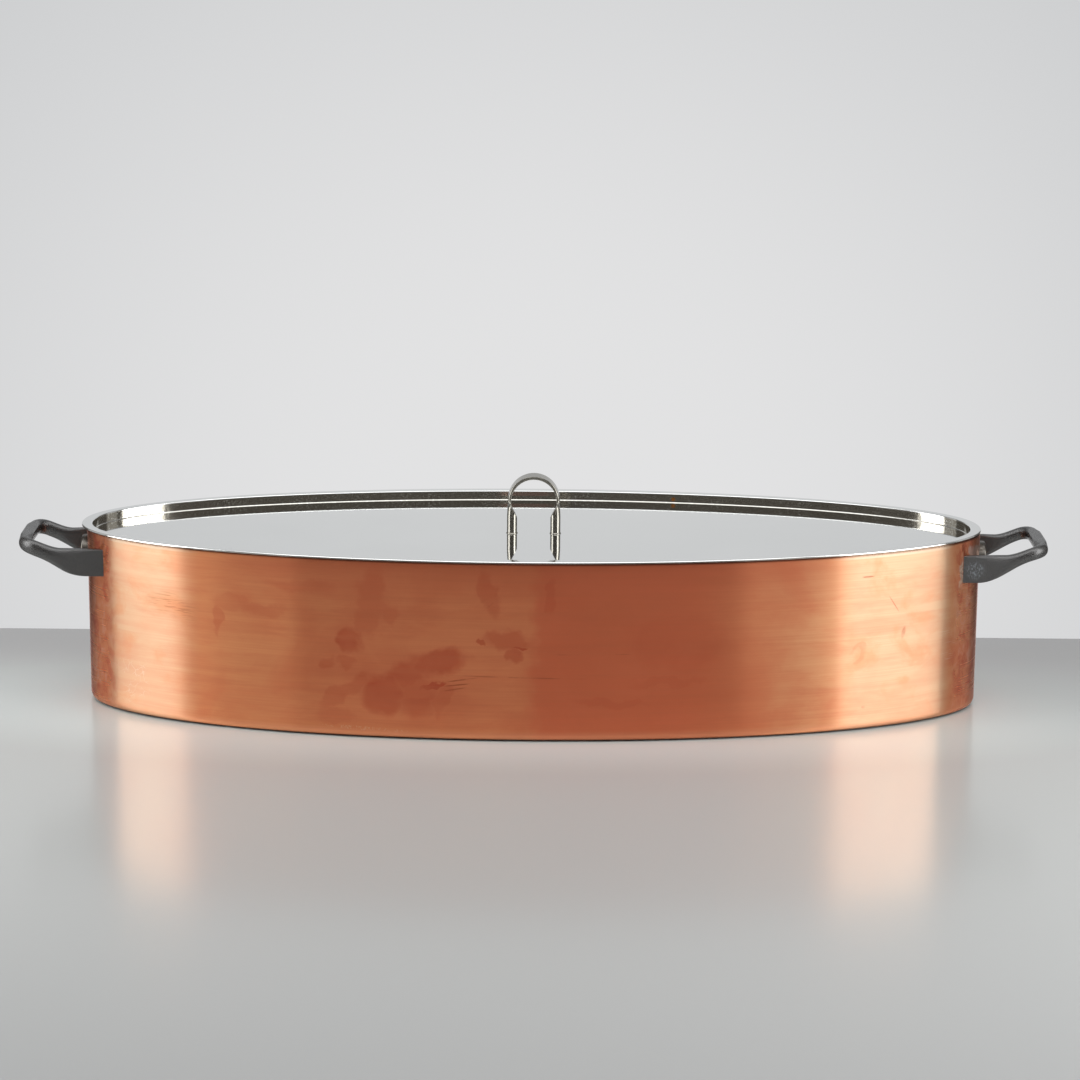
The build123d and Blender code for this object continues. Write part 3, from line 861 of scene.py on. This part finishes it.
def ground(place, uneven, seen, front, bands):
    """Redder in the middle, paler outwards and palest in the bands, a painted tint of shade and highlight;
    darker towards the rim, a painted shade; with clouds and marks on it.
    """
    x, z = place.part("X"), place.part("Z")
    outwards = abs(x).above(0.10, 0.20).mix(MIDDLE_SHADE_TONE, x.above(-0.02, 0.10).mix(LEFT_TONE, RIGHT_TONE))
    old = uneven.part("X").above(-0.005, 0.005) * (1 - x.above(0.09, 0.17)) * front
    # Painted shade: the wall is darker and redder towards the rim, away from the ends.
    high = z.above(0.085, 0.117) * (1 - abs(x).above(0.17, 0.22))
    stained = all_marks(uneven, STAINS) * (0.66 + 0.75 * seen["wisps"] * seen["clouds"] + 0.35 * seen["soft"])
    return laid_over(
        bands.mix(outwards, BAND_HIGHLIGHT_TONE),
        (old * 0.75, (0.90, 0.21, 0.105)),
        (high * 0.45, (0.78, 0.20, 0.105)),
        (seen["clouds"] * (0.42 - 0.26 * bands), (0.80, 0.20, 0.095)),
        (stained, (0.70, 0.125, 0.065)),
        (all_marks(place, SCRATCHES) * seen["soft"].above(0.35, 0.6), (0.40, 0.09, 0.05)),
        (seen["wisps"] * (0.32 - 0.10 * bands), (0.80, 0.215, 0.105)))


def brushed(place, tone, seen, bands, ends):
    """The brush lines over the whole wall, mottling in the bands and blotches at the ends."""
    mottle = place.noise((34, 34, 48), 5.0, 0.6, 0.5, shift=(5, 0, 0)).above(0.50, 0.70)
    blotches = place.noise((150, 150, 80), 4.0, 0.65, 0.8, shift=(3, 0, 0))
    return laid_over(
        tone,
        (seen["broad_lines"] * 0.17 * (1 - ends), (0.70, 0.19, 0.095)),
        (seen["lines"] * 0.22, (0.72, 0.24, 0.12)),
        (bands * mottle * 0.50, (0.92, 0.36, 0.16)),
        (ends * 0.4, (0.95, 0.29, 0.16)),
        (ends * blotches.above(0.48, 0.62) * 0.75, (0.72, 0.155, 0.09)),
        (ends * (1 - blotches.above(0.38, 0.46)) * 0.5, (1.0, 0.50, 0.36)))


print("red over green, middle to bands:",
      [round(tone[0] / tone[1], 2) for tone in (MIDDLE_SHADE_TONE, LEFT_TONE, RIGHT_TONE, BAND_HIGHLIGHT_TONE)])

# %% [markdown]
# A few marks have a pattern of their own: hatching where something rubbed on the left, crazed lacquer in the
# lower left corner, a scuffed line above the base, a curl left by a wet rim, key scratches at the right end,
# and two pale places where the right lug meets the wall. Each is a soft mark times its own fine noise, and
# each row gives its place and half sizes in millimetres, its tilt and its softness.

# %% Copper: single marks
PALE_SCAR = (1.0, 0.74, 0.58)
SINGLE_MARKS = {
    "rubbed": (-236, 79, 26, 13, 12, 0.8), "crazed": (-262, 22, 32, 20, 30, 0.6),
    "scuff": (-108, 6.6, 36, 1.7, 2, 0.5), "curl": (214, 52, 8, 9, 0, 0.2),
    "curl_inside": (213, 51, 4.5, 5.5, 0, 0.2), "keys": (275, 52, 9, 17, 0, 0.6),
    "peeled": (292.5, 108, 4.5, 7, -25, 0.3), "lug_line": (284, 98, 2.2, 11, 0, 0.4),
}


def single_marks(place, uneven, tone, soft):
    """Every single mark laid over the tone. The scuff and the keys have even borders."""
    rubbed, crazed, curl, curl_inside, peeled, lug_line = (mark(uneven, *SINGLE_MARKS[name]) for name in (
        "rubbed", "crazed", "curl", "curl_inside", "peeled", "lug_line"))
    scuff, keys = (mark(place, *SINGLE_MARKS[name]) for name in ("scuff", "keys"))
    hatching = place.noise((90, 90, 1400), 2.0, lean=-60).above(0.50, 0.62)
    cracks = place.node("ShaderNodeTexVoronoi", {"feature": "DISTANCE_TO_EDGE"}, {
        "Vector": uneven, "Scale": 210.0}, "Distance")
    grazes = place.noise((420, 420, 250), 2.0, 0.6, 1.5).above(0.52, 0.60)
    cuts = place.noise((90, 90, 1700), 2.0, lean=-50).above(0.58, 0.66)
    return laid_over(
        tone,
        (rubbed * 0.45, (0.90, 0.36, 0.16)),
        (rubbed * hatching * 0.55, (0.45, 0.16, 0.07)),
        (crazed * (1 - cracks.above(0.012, 0.04)) * soft.above(0.46, 0.58) * 0.6, PALE_SCAR),
        (scuff * grazes * 0.7, (1.0, 0.52, 0.30)),
        (curl * (1 - curl_inside) * soft.above(0.42, 0.56) * 0.45, (0.86, 0.30, 0.15)),
        (keys * cuts * 0.5, PALE_SCAR),
        (peeled * soft.above(0.36, 0.50) * 0.7, (1.0, 0.78, 0.68)),
        (lug_line * soft.above(0.30, 0.45) * 0.7, (1.0, 0.84, 0.68)))


def edge_light_and_shade_painted(place, tone, bands):
    """Painted light and shade: a pale painted highlight and then a dark painted shadow under the flange, a
    painted reflection on the bend at the base and painted shade at its foot.
    """
    z = place.part("Z")
    return laid_over(
        tone,
        (z.above(0.1158, 0.1166) * bands * 0.6, (1.0, 0.80, 0.60)),
        (z.above(0.1172, 0.1186) * (0.95 - 0.35 * bands), (0.14, 0.045, 0.03)),
        ((1 - z.above(0.004, 0.008)) * 0.4, (1.0, 0.46, 0.25)),
        (1 - z.above(0.0002, 0.0024), (0.05, 0.018, 0.010)))


print("single marks:", ", ".join(SINGLE_MARKS))

# %% [markdown]
# Brush lines spread every reflection up and down, across themselves: the soft lamps become tall bright bands.
# Anisotropic shading does just this, at full strength and turned a quarter. Real brushing also leaves a few
# deeper lines, so a rougher copy of the same metal is mixed in, which spreads a faint haze round each band.

# %% Copper: the finish
HAZE_ROUGHNESS, HAZE_SHARE = 0.55, 0.34


def copper_looks(place):
    """All the layers of tone together, and a roughness that follows the brush lines."""
    uneven, seen = wandering(place), patterns(place)
    front, bands, ends = regions(place)
    tone = ground(place, uneven, seen, front, bands)
    tone = brushed(place, tone, seen, bands, ends)
    tone = single_marks(place, uneven, tone, seen["soft"])
    return {
        # The lines along the rim and the base, laid over last, are painted light and shade.
        "Base Color": edge_light_and_shade_painted(place, tone, bands),
        "Roughness": 0.21 + 0.03 * seen["lines"] + 0.03 * seen["broad_lines"] + 0.05 * ends,
    }


def hazed(material, roughness, share):
    """Mixes in a rougher copy of the same metal: the haze that deeper brush lines spread round a
    reflection."""
    tree = material.node_tree
    sharp = tree.nodes["Principled BSDF"]
    haze = tree.nodes.new("ShaderNodeBsdfPrincipled")
    for key in ("Metallic", "Anisotropic", "Anisotropic Rotation"):
        haze.inputs[key].default_value = sharp.inputs[key].default_value
    haze.inputs["Roughness"].default_value = roughness
    tree.links.new(sharp.inputs["Base Color"].links[0].from_socket, haze.inputs["Base Color"])
    both = tree.nodes.new("ShaderNodeMixShader")
    both.inputs[0].default_value = share
    tree.links.new(sharp.outputs[0], both.inputs[1])
    tree.links.new(haze.outputs[0], both.inputs[2])
    tree.links.new(both.outputs[0], tree.nodes["Material Output"].inputs["Surface"])
    return material


BRUSHED = {"Metallic": 1.0, "Anisotropic": 1.0, "Anisotropic Rotation": 0.25}
dress(hazed(finish("brushed_copper", BRUSHED, copper_looks), HAZE_ROUGHNESS, HAZE_SHARE), copper_body)

# %% [markdown]
# The lid is polished steel, nearly a mirror with a faint haze, so it is made almost only of roughness.
# Pressing has left the low wall of the well a little uneven, and fine specks and a fine bump there break up
# what it reflects. Near the bow's feet the wall has a russet tint, and one crumb of copper lies in the well.
# The cut edge of the sheet gets a dark colour of its own: painted shade for the shadowed gap under the
# flange.

# %% Steel of the lid
CRUMB = (0.0972, 0.0945, 0.1165)


def lid_looks(place):
    """A clean mirror on the flats and fine dark and light specks on the well's wall."""
    z = place.part("Z")
    well_wall = z.above(0.1142, 0.1147) * (1 - z.above(0.1196, 0.1202))
    specks = place.noise((700, 700, 900), 2.0, 0.7)
    patches = place.noise((26, 26, 60), 2.0)
    light = specks.above(0.50, 0.74) * (0.35 + 0.65 * patches.above(0.40, 0.60))
    russet = (1 - abs(place.part("X") + 0.006).above(0.012, 0.022)) * z.above(0.1168, 0.1172)
    tone = laid_over(
        light.mix((0.45, 0.42, 0.36), (1.0, 1.0, 0.94)),
        (russet * 0.7, (0.75, 0.50, 0.42)),
        (1 - place.distance(CRUMB).above(0.0010, 0.0020), (0.95, 0.40, 0.12)))
    ripple = place.noise((330, 330, 260), 2.0) * well_wall
    faint = place.noise((13, 13, 13), 2.0).above(0.3, 0.7)
    flats = faint.mix((0.90, 0.91, 0.90), (0.92, 0.93, 0.92))
    return {"Base Color": well_wall.mix(flats, tone), "Normal": ripple.bump(1.0, 0.00003),
            "Roughness": 0.05 + 0.06 * well_wall}


dress(finish("polished_steel", {"Metallic": 1.0}, lid_looks), lid_dish)
# Painted shade for the flange's edge and the gap under it.
flange_edge_shade = finish("flange_edge_painted_shade", {"Metallic": 1.0, "Base Color": (0.085, 0.070, 0.060), "Roughness": 0.5})
lid_dish.data.materials.append(flange_edge_shade)

# %% [markdown]
# The bow is the same steel gone duller under the hand, and the bosses are turned and grey. One fine noise
# changes the tone and the roughness of each together, because a mark on steel shows in both.

# %% Bow and bosses


def bow_looks(place):
    """Dull polished steel with the fine marks of handling."""
    specks = place.noise((900, 900, 900), 3.0, 0.6).above(0.35, 0.65)
    return {"Base Color": specks.mix((0.30, 0.285, 0.25), (0.39, 0.375, 0.335)),
            "Roughness": 0.16 + 0.07 * specks}


def boss_looks(place):
    """Grey turned steel with a few stains."""
    stains = place.noise((300, 300, 300), 4.0, 0.6).above(0.4, 0.65)
    return {"Base Color": stains.mix((0.155, 0.145, 0.13), (0.085, 0.075, 0.065)),
            "Roughness": 0.32 + 0.1 * stains}


dress(finish("handled_steel", {"Metallic": 1.0}, bow_looks), lid_bow)
dress(finish("turned_steel", {"Metallic": 1.0}, boss_looks), right_boss, left_boss)

# %% [markdown]
# The stirrups are cast iron under a thin black coat that has gone satin. Casting sand leaves a fine grain,
# which is both a tone and a bump. Hands have polished the arms and the grip, so the roughness falls towards
# them, and one lug is rubbed down to bluish metal.

# %% Iron finish
WORN_PLACE = (0.2925, -0.0330, 0.0990)


def iron_looks(place):
    """Black on the lugs, greyer and smoother on the arms, the grey a painted light for their lit tops, with
    grain and a worn patch.
    """
    grain = place.noise((1500, 1500, 1500), 3.0, 0.65).above(0.35, 0.65)
    reach = abs(place.part("X")).above(0.300, 0.335)
    scraped = place.noise((1300, 1300, 500), 3.0, 0.7, 0.6).above(0.48, 0.62)
    worn = 1 - place.distance(WORN_PLACE).above(0.0015, 0.0080)
    # The greyer tone of the arms is painted light: their tops catch the lamps, and the lugs' faces do not.
    tone = laid_over(
        reach.mix((0.0055, 0.0045, 0.0045), (0.014, 0.013, 0.0125)),
        (grain * 0.38, (0.034, 0.031, 0.030)),
        (scraped * worn * 0.8, (0.27, 0.31, 0.35)))
    return {"Base Color": tone, "Roughness": 0.36 - 0.14 * reach + 0.08 * grain,
            "Normal": grain.bump(0.7, 0.00007)}


dress(finish("black_iron", {"IOR": 2.0}, iron_looks), right_stirrup, left_stirrup)

# %% [markdown]
# The kettle stands near the far edge of a pale grey satin table, in front of a pale wall. Neither is part of
# the object. The table's colour holds painted light: a lighter pool round the kettle, and painted shade
# behind it and towards the front.

# %% Table


def sheet(name, corners):
    """A flat sheet with these four corners in metres, for the table and the wall."""
    mesh = bpy.data.meshes.new(name)
    mesh.from_pydata(corners, [], [(0, 1, 2, 3)])
    piece = bpy.data.objects.new(name, mesh)
    bpy.context.scene.collection.objects.link(piece)
    return piece


def table_looks(place):
    """Pale grey with painted light: a lighter pool in an oval round the kettle, and painted shade behind it,
    at the far right and towards the front.
    """
    x, y = place.part("X"), place.part("Y")
    beside = place.stretched((3.35, 9.5, 1)).length()
    far_right_shade = x.above(0.20, 0.42) * y.above(-0.14, 0.05)
    # Apart from the pale grey itself, every change below is painted light or shade.
    return {"Base Color": laid_over(
        (0 - y).above(0.1, 1.0).mix((0.47, 0.48, 0.47), (0.425, 0.43, 0.43)),
        (1 - beside.above(1.0, 1.7), (0.57, 0.62, 0.61)),
        (y.above(0.02, 0.15), (0.36, 0.36, 0.36)),
        (far_right_shade * 0.5, (0.26, 0.26, 0.26)))}


table = sheet("table", [(-3, -3, 0), (3, -3, 0), (3, 0.135, 0), (-3, 0.191, 0)])
dress(finish("satin_table", {"Roughness": 0.19, "Specular IOR Level": 0.7}, table_looks), table)

# %% [markdown]
# A wall lit by lamps would need lamps of its own, which the lid would mirror. So the wall glows by itself, in
# exactly the tone it has in the picture. The Light Path node tells who is looking: the camera, mirrors and
# glass see it at full strength, and everything else is lit by it more weakly.

# %% Wall
WALL_MIDDLE, WALL_FOR_OTHERS = (0, 1.6, -0.24), 0.6


def glowing(name, varying, level_for_others):
    """Light of its own for camera, glossy and transmitted rays, and a weaker one for the rest."""
    material = bpy.data.materials.new(name)
    material.use_nodes = True
    nodes = material.node_tree.nodes
    nodes.clear()
    rays = nodes.new("ShaderNodeLightPath").outputs
    seen = Wire(rays["Is Camera Ray"])
    for kind in ("Is Glossy Ray", "Is Transmission Ray"):
        seen = seen.maths("MAXIMUM", seen, Wire(rays[kind]))
    light = nodes.new("ShaderNodeEmission")
    put(light.inputs["Color"], varying(Wire(nodes.new("ShaderNodeTexCoord").outputs["Object"])))
    put(light.inputs["Strength"], seen * (1 - level_for_others) + level_for_others)
    out = nodes.new("ShaderNodeOutputMaterial")
    material.node_tree.links.new(light.outputs[0], out.inputs["Surface"])
    return material


def wall_colour(place):
    """Palest just above the kettle and a little darker towards the corners of the picture."""
    far = place.stretched((1, 1, 1.15)).distance(WALL_MIDDLE)
    return far.above(0.15, 1.3).mix((0.76, 0.76, 0.765), (0.565, 0.575, 0.585))


wall = sheet("wall", [(-1.1, 1.6, -2.0), (1.1, 1.6, -2.0), (1.1, 1.6, 3.0), (-1.1, 1.6, 3.0)])
dress(glowing("wall_light", wall_colour, WALL_FOR_OTHERS), wall)

# %% [markdown]
# Polished metal shows the studio, so each lamp is placed by what mirrors it. Two tall soft lamps, one on each
# side, make the bright bands on the copper and the white patches in the well. Two low small ones fill the
# copper between, two stand beside the kettle for its ends, and a wide one hangs above. Each row below says
# where a lamp is, where it points, how wide and high it is and its power in watts.

# %% Lamps
LAMPS = {
    "left_lamp": ((-0.753, -0.254, 0.54), (0.219, -0.017, 0.54), 0.40, 0.9, 4.0),
    "right_lamp": ((0.816, -0.450, 0.54), (-0.159, -0.229, 0.54), 0.58, 0.9, 6.4),
    "left_fill": ((-0.62, -0.66, 0.12), (-0.2, -0.08, 0.10), 0.30, 0.2, 0.10),
    "right_fill": ((0.62, -0.78, 0.12), (0.2, -0.07, 0.10), 0.34, 0.2, 0.16),
    "left_side": ((-1.30, 0.25, 0.50), (-0.28, 0, 0.30), 0.6, 0.9, 0.6),
    "right_side": ((1.30, 0.25, 0.50), (0.28, 0, 0.30), 0.6, 0.9, 0.6),
    "top_lamp": ((0, -0.5, 1.9), (0, 0, 0), 2.0, 1.6, 18),
}


def lamp(name, place, target, width, height, power):
    """A rectangular lamp at its place, turned until its own -Z axis points at the target."""
    light = bpy.data.lights.new(name, "AREA")
    light.shape = "RECTANGLE"
    light.size, light.size_y = width, height
    light.energy = power
    holder = bpy.data.objects.new(name, light)
    holder.location = place
    holder.rotation_euler = (Vector(target) - Vector(place)).to_track_quat("-Z", "Y").to_euler()
    bpy.context.scene.collection.objects.link(holder)


for name, row in LAMPS.items():
    lamp(name, *row)
print(len(LAMPS), "lamps")

# %% [markdown]
# The room behind the camera is dim, and brighter overhead, which the lid's bends show as a soft gradient. It
# is two greys with one smooth step between them, which follows how steeply one looks up.

# %% Room
world = bpy.data.worlds.new("room")
bpy.context.scene.world = world
world.use_nodes = True
upward = Wire(world.node_tree.nodes.new("ShaderNodeTexCoord").outputs["Generated"]).part("Z").above(0.34, 0.9)
room = upward.mix((0.124, 0.118, 0.112), (0.34, 0.34, 0.34))
put(world.node_tree.nodes["Background"].inputs["Color"], room)
print("world:", world.name)

# %% [markdown]
# The camera stands two metres away and a little above, with a long lens, as in the photograph. It leans
# half a degree, which the far edge of the table shows. Its three axes are worked out one by one, because a
# tracked camera cannot lean.

# %% Camera
FOCAL_PIXELS, PHOTO_PIXELS, SENSOR = 3232.0, 1080.0, 36.0
PITCH, ROLL = math.radians(13.63), math.radians(0.43)
CAMERA_PLACE = (0.0043, -2.1067, 0.6203)
camera = bpy.data.cameras.new("camera")
camera.sensor_width = SENSOR
camera.lens = FOCAL_PIXELS * SENSOR / PHOTO_PIXELS
eye = bpy.data.objects.new("camera", camera)
forward = Vector((0, math.cos(PITCH), -math.sin(PITCH)))
level_up = Vector((0, math.sin(PITCH), math.cos(PITCH)))
right = Vector((math.cos(ROLL), 0, 0)) + math.sin(ROLL) * level_up
leaning_up = math.cos(ROLL) * level_up - Vector((math.sin(ROLL), 0, 0))
turned_eye = Matrix((right, leaning_up, -forward)).transposed()
eye.matrix_world = Matrix.Translation(CAMERA_PLACE) @ turned_eye.to_4x4()
bpy.context.scene.collection.objects.link(eye)
bpy.context.scene.camera = eye
bpy.context.scene.view_settings.view_transform = "Standard"
print("lens", round(camera.lens, 1), "mm")

# %% [markdown]
